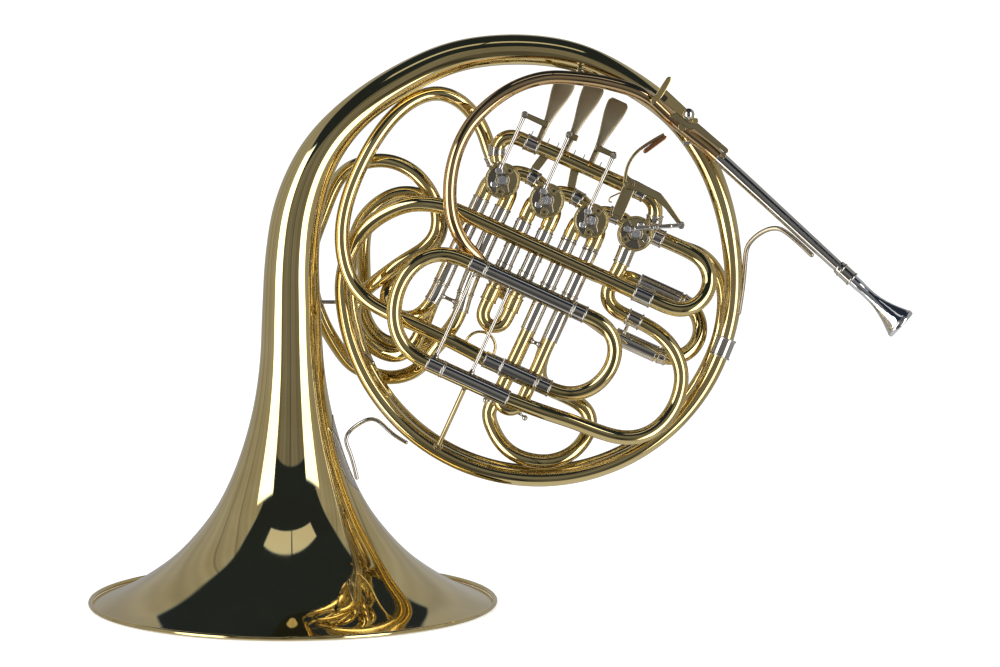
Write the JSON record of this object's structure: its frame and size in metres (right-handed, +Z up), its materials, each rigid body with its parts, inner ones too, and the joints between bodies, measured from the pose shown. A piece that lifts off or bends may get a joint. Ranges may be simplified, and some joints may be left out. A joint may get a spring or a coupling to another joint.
{
  "type": "french horn",
  "caption": "Double French horn standing on its bell, with rotary valves, finger levers, a thumb lever, tuning slides, leadpipe and mouthpiece.",
  "frame": {"origin": "centre of the bounding box, on the plane that the bell's rim rests on", "axes": "+Z up, +X from the bell towards the mouthpiece, +Y away from the valve levers' rods, to the back"},
  "size_m": [0.6264, 0.3124, 0.4327],
  "materials": {
    "lacquered_brass": "gloss",
    "rose_brass": "gloss",
    "nickel_silver": "gloss",
    "silver_plate": "gloss",
    "lever_metal": "satin",
    "spring_steel": "satin"
  },
  "bodies": {
    "horn": {"bell": "lacquered_brass", "bell_rim": "lacquered_brass", "ring_ferrule": "nickel_silver", "long_branch": "lacquered_brass", "change_branch": "lacquered_brass", "second_branch": "lacquered_brass", "long_loop": "lacquered_brass", "back_crook": "lacquered_brass", "inner_crook": "lacquered_brass", "tuning_crook": "lacquered_brass", "bottom_crook": "lacquered_brass", "bridge_tube": "lacquered_brass", "second_valve_rear_bow": "lacquered_brass", "main_slide_sleeves": "nickel_silver", "front_slide_sleeves": "nickel_silver", "second_valve_sleeves": "nickel_silver", "third_valve_sleeves": "nickel_silver", "leadpipe": "nickel_silver", "leadpipe_loop": "rose_brass", "first_valve_casing": "lacquered_brass", "second_valve_casing": "lacquered_brass", "third_valve_casing": "lacquered_brass", "change_valve_casing": "lacquered_brass", "first_valve_cap": "lacquered_brass", "second_valve_cap": "lacquered_brass", "third_valve_cap": "lacquered_brass", "change_valve_cap": "lacquered_brass", "lever_cradle": "nickel_silver", "first_lever_spring": "spring_steel", "second_lever_spring": "spring_steel", "third_lever_spring": "spring_steel", "thumb_bracket": "nickel_silver", "hook_base": "lacquered_brass", "leadpipe_brace": "nickel_silver", "bell_brace": "nickel_silver"},
    "mouthpiece": {"mouthpiece": "silver_plate"},
    "main_slide_bow": {"main_slide_bow": "lacquered_brass"},
    "left_tuning_bow": {"left_tuning_bow": "lacquered_brass"},
    "right_tuning_bow": {"right_tuning_bow": "lacquered_brass"},
    "second_valve_bow": {"second_valve_bow": "lacquered_brass"},
    "third_valve_bow": {"third_valve_bow": "lacquered_brass"},
    "first_finger_lever": {"first_finger_lever": "lever_metal"},
    "second_finger_lever": {"second_finger_lever": "lever_metal"},
    "third_finger_lever": {"third_finger_lever": "lever_metal"},
    "thumb_lever": {"thumb_lever": "lever_metal"},
    "first_rotor": {"first_valve_rotor": "lacquered_brass", "first_valve_stop_arm": "nickel_silver"},
    "second_rotor": {"second_valve_rotor": "lacquered_brass", "second_valve_stop_arm": "nickel_silver"},
    "third_rotor": {"third_valve_rotor": "lacquered_brass", "third_valve_stop_arm": "nickel_silver"},
    "change_rotor": {"change_valve_rotor": "lacquered_brass", "change_valve_stop_arm": "nickel_silver"},
    "first_rod": {"first_valve_rod": "nickel_silver"},
    "second_rod": {"second_valve_rod": "nickel_silver"},
    "third_rod": {"third_valve_rod": "nickel_silver"},
    "change_rod": {"change_valve_rod": "nickel_silver"},
    "finger_hook": {"finger_hook": "lacquered_brass"},
    "hook_screw": {"hook_screw": "nickel_silver"}
  },
  "joints": [
    {"name": "first_lever_press", "type": "hinge", "parent": "horn", "child": "first_finger_lever", "pos_m": [0.02976, 0.01842, 0.35101], "axis": [0.91, -0.057, -0.4108], "range_deg": [0, 20.2], "stiffness_Nm_per_rad": 0.25, "springref_deg": -17.19},
    {"name": "second_lever_press", "type": "hinge", "parent": "horn", "child": "second_finger_lever", "pos_m": [0.04942, 0.01719, 0.34214], "axis": [0.91, -0.057, -0.4108], "range_deg": [0, 20.2], "stiffness_Nm_per_rad": 0.25, "springref_deg": -17.19},
    {"name": "third_lever_press", "type": "hinge", "parent": "horn", "child": "third_finger_lever", "pos_m": [0.06907, 0.01596, 0.33327], "axis": [0.91, -0.057, -0.4108], "range_deg": [0, 20.2], "stiffness_Nm_per_rad": 0.25, "springref_deg": -17.19},
    {"name": "thumb_lever_press", "type": "hinge", "parent": "horn", "child": "thumb_lever", "pos_m": [0.09985, -0.00478, 0.32207], "axis": [0, -0.9905, 0.1374], "range_deg": [0, 17.2], "stiffness_Nm_per_rad": 0.3, "springref_deg": -17.19},
    {"name": "first_rotor_turn", "type": "hinge", "parent": "horn", "child": "first_rotor", "pos_m": [0.00297, 0.0095, 0.32308], "axis": [0, -0.9905, 0.1374], "range_deg": [0, 90.1]},
    {"name": "second_rotor_turn", "type": "hinge", "parent": "horn", "child": "second_rotor", "pos_m": [0.03646, 0.0074, 0.30797], "axis": [0, -0.9905, 0.1374], "range_deg": [0, 90.1]},
    {"name": "third_rotor_turn", "type": "hinge", "parent": "horn", "child": "third_rotor", "pos_m": [0.06994, 0.0053, 0.29285], "axis": [0, -0.9905, 0.1374], "range_deg": [0, 90.1]},
    {"name": "change_rotor_turn", "type": "hinge", "parent": "horn", "child": "change_rotor", "pos_m": [0.10368, 0.00397, 0.28328], "axis": [0, -0.9905, 0.1374], "range_deg": [-90.1, 0]},
    {"name": "first_rod_pivot", "type": "hinge", "parent": "first_rotor", "child": "first_rod", "pos_m": [0.00045, -0.0084, 0.33237], "axis": [0, -0.9905, 0.1374], "range_deg": [-90.1, 0]},
    {"name": "second_rod_pivot", "type": "hinge", "parent": "second_rotor", "child": "second_rod", "pos_m": [0.03394, -0.01049, 0.31726], "axis": [0, -0.9905, 0.1374], "range_deg": [-90.1, 0]},
    {"name": "third_rod_pivot", "type": "hinge", "parent": "third_rotor", "child": "third_rod", "pos_m": [0.06742, -0.01259, 0.30214], "axis": [0, -0.9905, 0.1374], "range_deg": [-90.1, 0]},
    {"name": "change_rod_pivot", "type": "hinge", "parent": "change_rotor", "child": "change_rod", "pos_m": [0.09726, -0.0144, 0.28913], "axis": [0, -0.9905, 0.1374], "range_deg": [0, 104]},
    {"name": "left_bow_slide", "type": "slide", "parent": "horn", "child": "left_tuning_bow", "axis": [-0.91, 0.057, 0.4108], "range_m": [0, 0.025]},
    {"name": "right_bow_slide", "type": "slide", "parent": "horn", "child": "right_tuning_bow", "axis": [0.91, -0.057, -0.4108], "range_m": [0, 0.02]},
    {"name": "main_bow_slide", "type": "slide", "parent": "horn", "child": "main_slide_bow", "axis": [0.91, -0.057, -0.4108], "range_m": [0, 0.0025]},
    {"name": "second_bow_slide", "type": "slide", "parent": "horn", "child": "second_valve_bow", "axis": [-0.4147, -0.1251, -0.9013], "range_m": [0, 0.018]},
    {"name": "third_bow_slide", "type": "slide", "parent": "horn", "child": "third_valve_bow", "axis": [-0.4147, -0.1251, -0.9013], "range_m": [0, 0.025]},
    {"name": "mouthpiece_pull", "type": "slide", "parent": "horn", "child": "mouthpiece", "axis": [0.7366, -0.1073, -0.6677], "range_m": [0, 0.01]},
    {"name": "hook_shift", "type": "slide", "parent": "horn", "child": "finger_hook", "axis": [0.7584, -0.0896, -0.6456], "range_m": [-0.004, 0.01]},
    {"name": "hook_screw_turn", "type": "hinge", "parent": "finger_hook", "child": "hook_screw", "pos_m": [0.14316, -0.00847, 0.37551], "axis": [0, -0.9905, 0.1374], "continuous": true}
  ],
  "couplings": [
    {"joint": "first_rotor_turn", "follows": "first_lever_press", "ratio": 4.4554},
    {"joint": "second_rotor_turn", "follows": "second_lever_press", "ratio": 4.4554},
    {"joint": "third_rotor_turn", "follows": "third_lever_press", "ratio": 4.4554},
    {"joint": "change_rotor_turn", "follows": "thumb_lever_press", "ratio": -5.2326},
    {"joint": "first_rod_pivot", "follows": "first_lever_press", "ratio": -4.4554},
    {"joint": "second_rod_pivot", "follows": "second_lever_press", "ratio": -4.4554},
    {"joint": "third_rod_pivot", "follows": "third_lever_press", "ratio": -4.4554},
    {"joint": "change_rod_pivot", "follows": "thumb_lever_press", "ratio": 6.0407}
  ]
}
